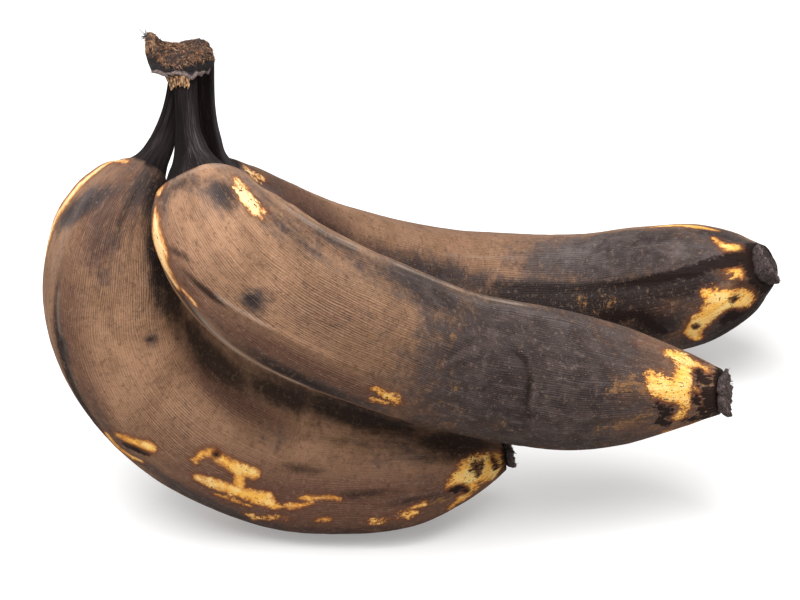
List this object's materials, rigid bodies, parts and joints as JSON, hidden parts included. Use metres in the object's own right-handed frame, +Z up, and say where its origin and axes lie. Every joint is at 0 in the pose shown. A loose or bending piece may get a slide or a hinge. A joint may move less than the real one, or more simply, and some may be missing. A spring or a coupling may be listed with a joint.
{
  "type": "banana bunch",
  "caption": "Small bunch of overripe bananas joined at a cut, fibrous crown, resting on the fruits' bellies with the crown up and the blossom ends reaching sideways.",
  "frame": {"origin": "middle of the bunch's bounding box, on the plane it rests on", "axes": "+Z up to the crown, +X from the crown's side to the blossom ends, -Y to the side of the front fruit"},
  "size_m": [0.2256, 0.153, 0.157],
  "materials": {
    "peel": "dried overripe peel, brown with dark grey and yellow patches, satin to matte",
    "crown": "dry torn fibres, matte",
    "blossom_end": "dried and frayed, matte"
  },
  "bodies": {
    "root": {"banana_left": "peel", "banana_front": "peel", "banana_back": "peel", "crown": "crown", "blossom_tip_left": "blossom_end", "blossom_tip_front": "blossom_end", "blossom_tip_back": "blossom_end"}
  },
  "joints": []
}
